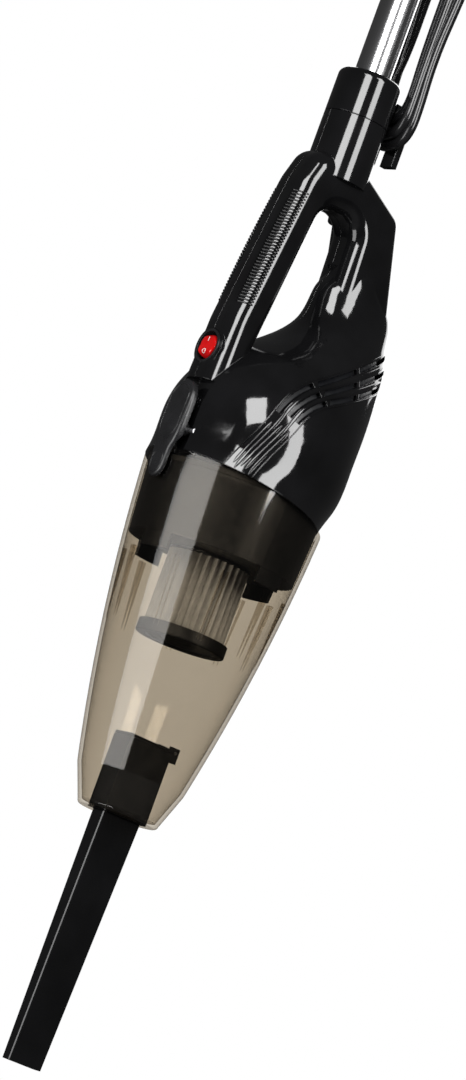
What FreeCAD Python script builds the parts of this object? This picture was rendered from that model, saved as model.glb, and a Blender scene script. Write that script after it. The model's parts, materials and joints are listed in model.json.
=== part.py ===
"""Corded stick vacuum cleaner, built as separate pieces. Millimetres, +Z up the stick, front towards -Y.

The origin is the middle of the hanging hole at the top of the stick, on the rod's axis.
The hand-held machine is drawn from the middle of its cup's floor ("machine frame"),
with Z on the motor's axis, and each of its pieces is then placed as a whole.
"""
import FreeCAD, Part
import math
import os
import re

Vector = FreeCAD.Vector
doc = FreeCAD.newDocument("StickVacuum")

# Driving dimensions, one row of the sheet each. Heights of the machine count from the cup's floor.
DRIVING = {
    # places of the two frames
    "cup_drop": 1030, "machine_back": 9.5,
    # seam between cup and housing, tilted down towards the back
    "seam_level": 198.5, "seam_tilt": 8.8, "seam_gap": 0.15,
    # dust cup
    "cup_floor_radius": 22, "cup_foot_radius": 24.6, "cup_foot_level": 2, "cup_flare_radius": 32.4,
    "cup_flare_level": 23, "cup_belly_radius": 48.5, "cup_belly_level": 116, "cup_rim_radius": 57.1,
    "cup_rim_level": 215, "cup_wall": 2.2,
    # inlet duct, flap and crevice tool
    "duct_width": 17, "duct_depth": 31.2, "duct_wall": 2, "duct_level": 45, "flap_thickness": 1.5,
    "flap_pin_radius": 1, "flap_pin_back": 18.8, "flap_pin_level": 46.2, "flap_pin_length": 15,
    "tool_length": 152, "tool_spigot": 24, "tool_width": 12.9, "tool_depth": 27.6, "tool_tip_width": 8,
    "tool_tip_depth": 24, "tool_tip_shift": 3.2, "tool_wall": 1.6,
    # filter
    "holder_skirt_radius": 50.4, "holder_top_radius": 53.2, "holder_low": 158, "holder_high": 204,
    "holder_wall": 2, "holder_hole_radius": 20, "lug_drop": 8, "lug_sweep": 24,
    "pleat_low": 113, "pleat_high": 157.4, "pleat_outer": 24.6, "pleat_inner": 20.4, "pleat_count": 30,
    "core_radius": 15.5, "core_wall": 1.4, "filter_cap_radius": 27, "filter_cap_low": 105.5,
    # housing
    "shell_wall": 2.5, "grip_width": 30, "grip_round": 10.5, "collar_radius": 19.3, "collar_low": 392,
    "collar_seam": 431, "collar_high": 459, "socket_bore": 15.1, "half_gap": 0.12,
    # vents
    "vent_back": 23.1, "vent_level": 226.7, "vent_slot": 2.8, "vent_rib": 28, "vent_end": 60,
    # switch
    "switch_level": 271, "switch_face": -52.6, "bezel_radius": 10.4, "bezel_bore": 8.9, "bezel_proud": 1.2,
    "switch_back": -36, "terminal_level": 264, "rocker_radius": 7.5, "rocker_pivot": -47,
    "rocker_swing": 8.8, "trunnion_radius": 1.2,
    # cup-release latch
    "latch_width": 23, "latch_low": 188, "latch_high": 248, "latch_pin_back": -52.6, "latch_pin_level": 219,
    "latch_pin_radius": 1.5, "well_half": 15, "well_floor": -49.5, "well_wall": 2.7, "well_high": 251,
    # motor
    "fan_radius": 43, "fan_low": 212, "fan_high": 229, "fan_wall": 1.2, "impeller_radius": 39,
    "shaft_radius": 3, "shaft_low": 214, "shaft_high": 278.5, "stator_radius": 29, "stator_bore": 18,
    "stator_low": 238, "stator_high": 258, "armature_radius": 17.4, "commutator_radius": 8,
    "commutator_low": 263, "commutator_high": 271, "bearing_radius": 8, "bearing_height": 5,
    # rod and its two ends
    "rod_radius": 11, "rod_wall": 1, "rod_low": 412, "rod_top": -112, "fit": 0.05,
    "neck_half": 4.2, "finger_half": 5.5, "finger_front": 30.9, "finger_back": 35, "neck_level": 446.4,
    "neck_height": 5.2, "lower_finger": 36, "upper_finger": 36, "handle_low": -150,
    "handle_high": -18, "handle_sleeve": 15.5,
    "upper_neck": -137.7, "hang_radius": 6, "hang_lobe": 14, "hang_thickness": 14,
    # cord
    "cord_radius": 3.4, "hank_low": -605.4, "hank_high": -105.7, "hank_half": 27, "hank_bulge": 5,
    "hank_front": 19.8, "hank_back": 30.6, "hank_slot": 11.6, "hank_stack": 21.6, "hank_upper_stack": 26.6,
}

sheet = doc.addObject("Spreadsheet::Sheet", "Dims")
for row, (alias, value) in enumerate(DRIVING.items(), 1):
    sheet.set(f"A{row}", alias)
    sheet.set(f"B{row}", str(value))
    sheet.setAlias(f"B{row}", alias)
doc.recompute()


class Sizes:
    """Reads a driving dimension from the sheet by its alias."""

    def __getattr__(self, alias):
        return float(sheet.get(alias))


D = Sizes()
TURNS = {
    "X": FreeCAD.Rotation(Vector(0, 1, 0), 90),
    "Y": FreeCAD.Rotation(Vector(1, 0, 0), -90),
    "Z": FreeCAD.Rotation(),
}
nodes = []


# ---------- helpers ----------

def formula(text):
    """An expression in which every alias is read from the sheet."""
    return re.sub(r"[a-z][a-z_]+", lambda word: "Dims." + word.group(0), str(text))


def bind(obj, **sizes):
    for name, text in sizes.items():
        obj.setExpression(name, formula(text))
    return obj


def put(obj, x=0, y=0, z=0, axis="Z"):
    obj.Placement = FreeCAD.Placement(Vector(), TURNS[axis])
    for letter, text in zip("xyz", (x, y, z)):
        obj.setExpression("Placement.Base." + letter, formula(text))
    return obj


def cylinder(name, radius, height, x=0, y=0, z=0, axis="Z"):
    return put(bind(doc.addObject("Part::Cylinder", name), Radius=radius, Height=height), x, y, z, axis)


def cone(name, low, high, height, x=0, y=0, z=0, axis="Z"):
    solid = bind(doc.addObject("Part::Cone", name), Radius1=low, Radius2=high, Height=height)
    return put(solid, x, y, z, axis)


def box(name, wide, deep, high, x=0, y=0, z=0):
    """A box centred on x and y that stands on z."""
    solid = bind(doc.addObject("Part::Box", name), Length=wide, Width=deep, Height=high)
    return put(solid, f"({x}) - ({wide}) / 2", f"({y}) - ({deep}) / 2", z)


def turn_box(block, angle, x, y, lean=0):
    """Turns a box about the Z axis, with its corner carried round from x, y and its sides leant further."""
    corner = FreeCAD.Rotation(Vector(0, 0, 1), angle).multVec(Vector(x, y, 0))
    block.Placement.Rotation = FreeCAD.Rotation(Vector(0, 0, 1), angle + lean)
    block.setExpression("Placement.Base.x", str(corner.x))
    block.setExpression("Placement.Base.y", str(corner.y))
    return block


def fuse(name, *pieces):
    joined = doc.addObject("Part::MultiFuse", name)
    joined.Shapes = list(pieces)
    return joined


def cut(name, base, *tools):
    """Takes the tools away one after another."""
    for tool in tools:
        trimmed = doc.addObject("Part::Cut", name)
        trimmed.Base = base
        trimmed.Tool = tool
        base = trimmed
    return base


def common(name, first, second):
    kept = doc.addObject("Part::Common", name)
    kept.Base = first
    kept.Tool = second
    return kept


def ring(name, outer, inner, height, x=0, y=0, z=0, axis="Z"):
    return cut(name, cylinder(name + "_outer", outer, height, x, y, z, axis),
               cylinder(name + "_bore", inner, height, x, y, z, axis))


def body(name):
    return doc.addObject("PartDesign::Body", name)


def sketch(owner, role, edges, lift=0):
    """A sketch on one of the body's own origin planes, raised by lift along its normal."""
    drawing = owner.newObject("Sketcher::SketchObject", owner.Name + "_sketch")
    plane = next(item for item in owner.Origin.OriginFeatures if item.Role == role)
    drawing.AttachmentSupport = [(plane, "")]
    drawing.MapMode = "FlatFace"
    drawing.setExpression("AttachmentOffset.Base.z", formula(lift))
    drawing.addGeometry(edges, False)
    return drawing


def closed(*steps):
    """A closed outline. A step (u, v) is a straight side, (u, v, via_u, via_v) an arc through via."""
    edges = []
    here = Vector(steps[-1][0], steps[-1][1], 0)
    for step in steps:
        there = Vector(step[0], step[1], 0)
        if len(step) == 4:
            edges.append(Part.Arc(here, Vector(step[2], step[3], 0), there))
        else:
            edges.append(Part.LineSegment(here, there))
        here = there
    return edges


def rounded(*corners):
    """A closed outline of straight sides whose corners (u, v, radius) are tangent arcs."""
    points = [Vector(u, v, 0) for u, v, _ in corners]
    steps = []
    for index, (_, _, radius) in enumerate(corners):
        here = points[index]
        back = (points[index - 1] - here).normalize()
        ahead = (points[(index + 1) % len(points)] - here).normalize()
        half = back.getAngle(ahead) / 2
        if radius == 0:
            steps.append((here.x, here.y))
            continue
        reach = radius / math.tan(half)
        middle = (back + ahead).normalize() * (radius / math.sin(half) - radius)
        start, end, via = here + back * reach, here + ahead * reach, here + middle
        steps += [(start.x, start.y), (end.x, end.y, via.x, via.y)]
    return closed(*steps)


def rectangle(wide, deep, radius, x=0, y=0):
    half_wide, half_deep = wide / 2, deep / 2
    return rounded((x - half_wide, y - half_deep, radius), (x + half_wide, y - half_deep, radius),
                   (x + half_wide, y + half_deep, radius), (x - half_wide, y + half_deep, radius))


def circle(radius, u=0, v=0):
    return Part.Circle(Vector(u, v, 0), Vector(0, 0, 1), radius)


def pad(owner, drawing, length, symmetric=False):
    feature = bind(owner.newObject("PartDesign::Pad", owner.Name + "_pad"), Length=length)
    feature.Profile = drawing
    if symmetric:
        feature.SideType = "Symmetric"
    return feature


def pocket(owner, drawing, length, symmetric=True, reversed_way=False):
    feature = bind(owner.newObject("PartDesign::Pocket", owner.Name + "_pocket"), Length=length)
    feature.Profile = drawing
    feature.Reversed = reversed_way
    if symmetric:
        feature.SideType = "Symmetric"
    return feature


def revolve(owner, drawing, angle=360):
    feature = owner.newObject("PartDesign::Revolution", owner.Name + "_turn")
    feature.Profile = drawing
    feature.ReferenceAxis = (drawing, ["V_Axis"])
    bind(feature, Angle=angle)
    return feature


def turned(name, *steps):
    """A body of revolution about Z from an outline of (radius, height) steps."""
    owner = body(name)
    revolve(owner, sketch(owner, "XZ_Plane", closed(*steps)))
    return owner


def shape_of(name, shape):
    feature = doc.addObject("Part::Feature", name)
    feature.Shape = shape
    return feature


def keep(name, piece, machine=True):
    """Names a sub-part, and moves a piece of the machine from its own frame to the stick's."""
    piece.Label = name
    if machine:
        held = dict(piece.ExpressionEngine)
        for letter, home in (("y", "machine_back"), ("z", "-cup_drop")):
            place = "Placement.Base." + letter
            old = held.get(place) or held.get("." + place) or getattr(piece.Placement.Base, letter)
            text = f"({old}) + ({formula(home)})"
            piece.setExpression(place, text)
    nodes.append(piece)
    return piece


def cable(points, radius):
    """A tube along straight runs joined by tangent arcs, each as large as its two runs allow."""
    knots = [Vector(*point) for point in points]
    edges = []
    start = knots[0]
    radii = []
    for before, here, after in zip(knots, knots[1:], knots[2:]):
        run = min((here - before).Length, (after - here).Length)
        back = (before - here).normalize()
        ahead = (after - here).normalize()
        half = back.getAngle(ahead) / 2
        reach = 0.45 * run
        bend = reach * math.tan(half)
        radii.append(round(bend, 1))
        middle = (back + ahead).normalize() * (bend / math.sin(half) - bend)
        edges.append(Part.LineSegment(start, here + back * reach).toShape())
        edges.append(Part.Arc(here + back * reach, here + middle, here + ahead * reach).toShape())
        start = here + ahead * reach
    edges.append(Part.LineSegment(start, knots[-1]).toShape())
    path = Part.Wire(edges)
    rim = Part.Wire(Part.Circle(knots[0], knots[1] - knots[0], radius).toShape())
    tube = path.makePipeShell([rim], True, True)
    share = tube.Volume / (math.pi * radius ** 2 * path.Length)
    print(f"cable of {path.Length:.0f} mm, bend radii {radii}, volume {share:.3f} of section times length")
    return tube


def cylinder_between(name, low, high, radius):
    """A round bar from one point to another."""
    run = Vector(*high) - Vector(*low)
    bar = doc.addObject("Part::Cylinder", name)
    bind(bar, Radius=radius, Height=round(run.Length, 3))
    bar.Placement = FreeCAD.Placement(Vector(*low), FreeCAD.Rotation(Vector(0, 0, 1), run))
    return bar


# ---------- dust cup, inlet and crevice tool ----------

def below_seam(name, gap, wide=160, deep=400):
    """A block whose top lies on the tilted seam, lowered by gap."""
    block = doc.addObject("Part::Box", name)
    bind(block, Length=wide, Width=wide, Height=deep)
    tilt = FreeCAD.Rotation(Vector(1, 0, 0), -D.seam_tilt)
    corner = tilt.multVec(Vector(-wide / 2, -wide / 2, -deep))
    block.Placement = FreeCAD.Placement(corner + Vector(0, 0, D.seam_level - gap), tilt)
    return block


def dust_cup():
    wall = D.cup_wall
    shell = turned(
        "cup_shell",
        (0, 0), (D.cup_floor_radius, 0),
        (D.cup_foot_radius, D.cup_foot_level, D.cup_floor_radius + 1.9, 0.6),
        (D.cup_flare_radius, D.cup_flare_level),
        (D.cup_rim_radius, D.cup_rim_level, D.cup_belly_radius, D.cup_belly_level),
        (D.cup_rim_radius - wall, D.cup_rim_level),
        (D.cup_flare_radius - wall, D.cup_flare_level + 0.8, D.cup_belly_radius - wall, D.cup_belly_level),
        (D.cup_foot_radius - wall, D.cup_foot_level + wall / 2), (D.cup_floor_radius - 2 * wall, wall), (0, wall))
    mouth = box("cup_mouth", "duct_width", "duct_depth", 10, z=-2)
    keep("dust_cup", cut("cup_cut", common("cup_below_seam", shell, below_seam("cup_side", D.seam_gap)), mouth))


def inlet_duct():
    walls = body("duct_walls")
    pad(walls, sketch(walls, "XY_Plane", rectangle(D.duct_width, D.duct_depth, 0)), "duct_level")
    bore = sketch(walls, "XY_Plane", rectangle(D.duct_width - 2 * D.duct_wall, D.duct_depth - 2 * D.duct_wall, 1))
    pocket(walls, bore, "3 * duct_level")
    lugs = [box("duct_lug", 2.2, 6.4, 9, side * 6.2, 18, 40) for side in (-1, 1)]
    hole = cylinder("duct_pin_hole", "flap_pin_radius + fit", 30, -15, "flap_pin_back", "flap_pin_level", "X")
    keep("inlet_duct", cut("duct_cut", fuse("duct_with_lugs", walls, *lugs), hole))
    pin = cylinder("pin", "flap_pin_radius", "flap_pin_length", "-flap_pin_length / 2", "flap_pin_back",
                   "flap_pin_level", "X")
    keep("flap_pin", pin)


def inlet_flap():
    plate = box("flap_plate", "duct_width - 0.6", "duct_depth", "flap_thickness", 0, 0, "duct_level + 0.3")
    arm = box("flap_arm", 8, 5, "flap_thickness", 0, 16.6, "duct_level + 0.3")
    barrel = cylinder("flap_barrel", "flap_pin_radius + 1.2", 8, -4, "flap_pin_back", "flap_pin_level", "X")
    bore = cylinder("flap_bore", "flap_pin_radius + fit", 20, -10, "flap_pin_back", "flap_pin_level", "X")
    notches = [box("flap_notch", 3.6, 5.4, 6, side * 6.2, 15.9, 43) for side in (-1, 1)]
    keep("inlet_flap", cut("flap_cut", fuse("flap_blank", plate, arm, barrel), bore, *notches))


def crevice_tool():
    owner = body("tool")
    base = sketch(owner, "XY_Plane", rectangle(D.tool_width, D.tool_depth, 2), -0.4)
    tip = sketch(owner, "XY_Plane", rectangle(D.tool_tip_width, D.tool_tip_depth, 1.6, 0, -D.tool_tip_shift),
                 "-tool_length")
    outside = owner.newObject("PartDesign::AdditiveLoft", "tool_outside")
    outside.Profile = base
    outside.Sections = [tip]
    spigot_wide = D.duct_width - 2 * D.duct_wall - 0.6
    spigot_deep = D.duct_depth - 2 * D.duct_wall - 0.6
    pad(owner, sketch(owner, "XY_Plane", rectangle(spigot_wide, spigot_deep, 1.5), -0.5), "tool_spigot")
    wall = 2 * D.tool_wall
    inner_base = sketch(owner, "XY_Plane", rectangle(spigot_wide - wall, spigot_deep - wall, 1), 30)
    inner_tip = sketch(owner, "XY_Plane", rectangle(D.tool_tip_width - wall, D.tool_tip_depth - wall, 1, 0,
                                                    -D.tool_tip_shift), "-tool_length - 0.5")
    inside = owner.newObject("PartDesign::SubtractiveLoft", "tool_inside")
    inside.Profile = inner_base
    inside.Sections = [inner_tip]
    keep("crevice_tool", owner)


# ---------- filter ----------

def filter_holder():
    wall = D.holder_wall
    owner = turned("holder", (D.holder_hole_radius, D.holder_low + 1), (D.holder_skirt_radius, D.holder_low + 1),
                   (D.holder_top_radius, D.seam_level), (D.holder_top_radius, D.holder_high),
                   (D.holder_top_radius - wall, D.holder_high), (D.holder_top_radius - wall, D.seam_level),
                   (D.holder_skirt_radius - wall, D.holder_low + 3.4), (D.holder_hole_radius, D.holder_low + 3.4))
    outer = D.holder_skirt_radius - 0.1
    low = D.holder_low - D.lug_drop
    lug_outline = closed((outer - wall - 0.5, low), (outer - 0.8, low), (outer, D.holder_low + 1),
                         (outer - wall, D.holder_low + 1))
    lug = owner.newObject("PartDesign::Revolution", "holder_lug")
    lug.Profile = sketch(owner, "XZ_Plane", lug_outline)
    lug.ReferenceAxis = (lug.Profile[0], ["V_Axis"])
    bind(lug, Angle="lug_sweep")
    pattern = owner.newObject("PartDesign::PolarPattern", "holder_lugs")
    pattern.Originals = [lug]
    pattern.Axis = (next(item for item in owner.Origin.OriginFeatures if item.Role == "Z_Axis"), [""])
    pattern.Angle = 360
    pattern.Occurrences = 4
    owner.Tip = pattern
    keep("filter_holder", owner)
    keep("holder_gasket", ring("gasket", "holder_top_radius + 0.5", "holder_top_radius", 3, z="holder_high - 3.5"))


def filter_cartridge():
    count = int(D.pleat_count)
    rim = []
    for index in range(2 * count):
        radius = D.pleat_outer if index % 2 == 0 else D.pleat_inner
        angle = math.pi * index / count
        rim.append((radius * math.cos(angle), radius * math.sin(angle)))
    pleats = body("pleats")
    edges = closed(*rim) + [circle(D.core_radius + 0.1)]
    pad(pleats, sketch(pleats, "XY_Plane", edges, "pleat_low"), "pleat_high - pleat_low")
    keep("filter_pleats", pleats)
    core = ring("core", "core_radius", "core_radius - core_wall", "pleat_high - pleat_low", z="pleat_low")
    slots = []
    for index in range(6):
        slot = box("core_slot", 40, 4, "pleat_high - pleat_low - 12", 0, 0, "pleat_low + 6")
        slots.append(turn_box(slot, 30 * index, -20, -2))
    keep("filter_core", cut("core_cut", core, *slots))
    keep("filter_collar", turned(
        "collar_ring", (D.core_radius - D.core_wall, D.pleat_high), (D.pleat_outer, D.pleat_high),
        (D.pleat_outer, D.holder_low + 0.6), (D.holder_hole_radius - 0.3, D.holder_low + 0.6),
        (D.holder_hole_radius - 0.3, D.holder_low + 8), (D.core_radius - D.core_wall, D.holder_low + 8)))
    low = D.filter_cap_low
    edge = D.filter_cap_radius
    keep("filter_end_cap", turned(
        "end_cap", (0, low + 1.2), (edge - 7, low + 1.2), (edge - 6, low), (edge - 1.2, low),
        (edge, low + 1.2, edge - 0.35, low + 0.35), (edge, D.pleat_low), (0, D.pleat_low)))


# ---------- housing ----------

# Ellipses that the dome over the motor passes through: height, centre (back), half depth, half width.
DOME = ((180, 0, 55.6, 55.5), (209, 0.8, 57, 56.9), (235, 2.4, 57.9, 57), (255, 5.5, 56, 54),
        (275, 13.6, 49.6, 45.5), (290, 23.4, 41.4, 36), (302, 30.5, 35, 28.5), (313, 33.2, 30.2, 23),
        (325, 33.6, 28.6, 19), (336, 31, 24.2, 17),
        (348, 28.5, 20.5, 15))


def dome(name, inset, top):
    """The motor dome, drawn in by inset on every side and ended at the height top."""
    sections = []
    for height, centre, deep, wide in DOME:
        if height > top:
            break
        section = doc.addObject("Part::Ellipse", name + "_section")
        section.MajorRadius = deep - inset
        section.MinorRadius = wide - inset
        section.Placement = FreeCAD.Placement(Vector(0, centre, height), FreeCAD.Rotation(Vector(0, 0, 1), 90))
        sections.append(section)
    loft = doc.addObject("Part::Loft", name)
    loft.Sections = sections
    loft.Solid = True
    return loft


def hand_plate():
    """The D-shaped handle seen from the side, with its grip in front and its spine at the back."""
    owner = body("hand_plate")
    outline = rounded((-54.6, 245, 0), (-52.8, 290, 60), (-40.2, 383, 40), (-33, 405, 13), (4, 405, 12),
                      (37.6, 388, 11), (62.4, 306, 14), (57, 258, 12), (30, 245, 12))
    pad(owner, sketch(owner, "YZ_Plane", outline), "grip_width", True)
    opening = rounded((-29.8, 272, 5), (-17.4, 374, 11), (8.6, 376, 13), (10.4, 330, 60), (7, 272, 5))
    opened = pocket(owner, sketch(owner, "YZ_Plane", opening), "3 * grip_width")
    doc.recompute()
    rims = []
    half = D.grip_width / 2
    for index, edge in enumerate(opened.Shape.Edges, 1):
        box_of = edge.BoundBox
        if box_of.XLength < 0.01 and abs(abs(box_of.Center.x) - half) < 0.01:
            rims.append(f"Edge{index}")
    rounding = owner.newObject("PartDesign::Fillet", "hand_plate_rounding")
    rounding.Base = (opened, rims)
    bind(rounding, Radius="grip_round")
    return owner


def vent_slot(radius, start, end):
    """Outline of one curved slot along a vent row, from a start angle on its arc to an end angle."""
    def on(reach, degrees):
        angle = math.radians(degrees)
        return D.vent_back + reach * math.cos(angle), D.vent_level + reach * math.sin(angle)

    outer, inner = radius + D.vent_slot / 2, radius - D.vent_slot / 2
    middle = (start + end) / 2
    return closed(on(outer, start), (*on(outer, end), *on(outer, middle)), on(inner, end),
                  (*on(inner, start), *on(inner, middle)))


def vent_tail(radius, slope, near, far):
    """Outline of the straight slot that runs on from a row's arc, from one depth to another."""
    crest = math.radians(90 + slope)
    lean = math.tan(math.radians(slope))

    def on(reach, back):
        return back, D.vent_level + reach * math.sin(crest) + (back - D.vent_back - reach * math.cos(crest)) * lean

    outer, inner = radius + D.vent_slot / 2, radius - D.vent_slot / 2
    return closed(on(outer, near), on(outer, far), on(inner, far), on(inner, near))


# Rows of vents, outermost first: the arc's radius, its start angle, and the slope of the straight part after it.
VENT_ROWS = ((50.5, 160, 33), (44.9, 157, 31), (39.5, 156.5, 28.5))


def vents():
    """Three rows of slots through both sides, each an arc that runs on straight towards the back."""
    arcs, tails = [], []
    for radius, start, slope in VENT_ROWS:
        arcs += vent_slot(radius, start, 92 + slope)
        foot = D.vent_back + radius * math.cos(math.radians(90 + slope))
        tails += vent_tail(radius, slope, foot + 1.2, D.vent_rib - 1.2)
        tails += vent_tail(radius, slope, D.vent_rib + 1.2, D.vent_end)
    tools = []
    for name, edges in (("vent_arcs", arcs), ("vent_tails", tails)):
        tool = body(name)
        pad(tool, sketch(tool, "YZ_Plane", edges), 140, True)
        tools.append(tool)
    return tools


SCREWS = ((-40, 306), (-33, 352), (29, 345), (-24, 392))
SCREW_HEAD, SCREW_SHANK = 2.9, 1.5


def housing():
    outside = fuse("housing_outside", dome("dome_outside", 0, 400), hand_plate(),
                   cylinder("collar_wall", "collar_radius", "collar_seam - 0.4 - collar_low", 0, "-machine_back",
                            "collar_low"),
                   cylinder("switch_boss", "bezel_radius + 2", 20, 0, "switch_face", "switch_level", "Y"))
    well = box("latch_well", "2 * well_half + 6", 14, 76, 0, "well_floor + well_wall - 7", 182)
    cavity = cut("housing_cavity", dome("dome_inside", D.shell_wall, 327), well)
    arcs, tails = vents()
    latch_pocket = box("latch_pocket", "2 * well_half", 30, "well_high - 180", 0, "well_floor - 15", 180)
    pin_hole = cylinder("latch_pin_hole", "latch_pin_radius + fit", 34.2, -17.1, "latch_pin_back",
                        "latch_pin_level", "X")
    switch_hole = cylinder("switch_hole", "bezel_radius - 0.4", "switch_back - switch_face + 4.5", 0,
                           "switch_face - 4", "switch_level", "Y")
    bezel_seat = cylinder("bezel_seat", "bezel_radius + 0.2", 4, 0, "switch_face - 4", "switch_level", "Y")
    wire_hole = cylinder("wire_hole", 3.6, 20, 0, "switch_back - 1", "terminal_level", "Y")
    socket_hole = cylinder("socket_hole", "socket_bore", 40, 0, "-machine_back", "collar_seam - 27")
    screw_holes = []
    for back, level in SCREWS:
        screw_holes.append(cylinder("screw_head_hole", SCREW_HEAD + 0.1, 8, -18, back, level, "X"))
        screw_holes.append(cylinder("screw_hole", SCREW_SHANK + 0.05, 18.1, -10, back, level, "X"))
    far_side = box("far_side", 100, 200, 300, "half_gap - 50", 0, 170)
    shell = cut("housing_shell", outside, far_side, cavity, arcs, tails, latch_pocket, pin_hole, switch_hole,
                bezel_seat, wire_hole, socket_hole, below_seam("housing_side", -D.seam_gap))
    twin = doc.addObject("Part::Mirroring", "housing_twin")
    twin.Source = shell
    twin.Normal = Vector(1, 0, 0)
    keep("housing_right", cut("housing_right_cut", shell, *screw_holes))
    keep("housing_left", cut("housing_left_cut", twin, *screw_holes, *gland_and_cable()))
    screws = []
    for back, level in SCREWS:
        screws.append(cylinder("screw_head", SCREW_HEAD, 2.4, -12.4, back, level, "X"))
        screws.append(cylinder("screw_shank", SCREW_SHANK, 18, -10, back, level, "X"))
    keep("housing_screws", fuse("screws", *screws))


# ---------- switch and latch ----------

def switch():
    flange = cylinder("bezel_flange", "bezel_radius", "bezel_proud", 0, "switch_face - bezel_proud",
                      "switch_level", "Y")
    barrel = cylinder("bezel_barrel", "bezel_radius - 0.45", "switch_back - switch_face", 0, "switch_face",
                      "switch_level", "Y")
    bore = cylinder("bezel_bore", "bezel_bore", "14 + bezel_proud", 0, "switch_face - bezel_proud",
                    "switch_level", "Y")
    pivot = cylinder("bezel_pivot", "trunnion_radius + fit", 19.4, -9.7, "rocker_pivot", "switch_level", "X")
    keep("switch_body", cut("bezel", fuse("bezel_blank", flange, barrel), bore, pivot))
    drum = cylinder("rocker_drum", "rocker_swing", 15, -7.5, "rocker_pivot", "switch_level", "X")
    plug = cylinder("rocker_plug", "rocker_radius", 10, 0, "rocker_pivot - 10", "switch_level", "Y")
    trunnions = cylinder("rocker_trunnions", "trunnion_radius", 18.8, -9.4, "rocker_pivot", "switch_level", "X")
    keep("switch_rocker", fuse("rocker", common("rocker_cap", drum, plug), trunnions))
    tabs = [box("terminal_tab", 0.8, 9, 4, side * 2.2, "switch_back + 4.5", "terminal_level - 2") for side in (-1, 1)]
    keep("switch_terminals", fuse("tabs", *tabs))


def latch():
    side = body("latch_side")
    low, high = D.latch_low, D.latch_high
    pin_y, pin_z = D.latch_pin_back, D.latch_pin_level
    outline = rounded((-58.2, high + 1, 0.2), (-59.6, pin_z + 10, 40), (-59.6, pin_z - 14, 40),
                      (-59.2, low - 1, 0.2),
                      (-57.4, low - 1, 0.2), (-57.4, 209, 1), (-55, 213, 1), (pin_y + 2.3, pin_z - 4, 2),
                      (pin_y + 2.3, pin_z + 4, 2), (-56.4, pin_z + 7, 1), (-56.4, high + 1, 0.2))
    pad(side, sketch(side, "YZ_Plane", outline), "latch_width", True)
    front = body("latch_front")
    half = D.latch_width / 2
    face = closed((half, high - half), (-half, high - half, 0, high),
                  (-half, low + half), (half, low + half, 0, low))
    pad(front, sketch(front, "XZ_Plane", face), 200, True)
    bore = cylinder("latch_bore", "latch_pin_radius + fit", 40, -20, "latch_pin_back", "latch_pin_level", "X")
    keep("latch_lever", cut("latch_cut", common("latch_blank", side, front), bore))
    keep("latch_pin", cylinder("pin_of_latch", "latch_pin_radius", 34, -17, "latch_pin_back",
                               "latch_pin_level", "X"))
    coil_radius, wire = 3, 0.45
    free_length = D.well_floor + 56.4 - 0.2
    helix = Part.makeHelix((free_length - 2 * wire) / 3, free_length - 2 * wire, coil_radius)
    rim = Part.Wire(Part.Circle(Vector(coil_radius, 0, 0), Vector(0, 1, 0), wire).toShape())
    coil = Part.Wire(helix.Edges).makePipeShell([rim], True, True)
    spring = shape_of("spring_of_latch", coil)
    put(spring, 0, -56.3 + wire, "latch_high - 9", "Y")
    keep("latch_spring", spring)


# ---------- motor ----------

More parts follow.
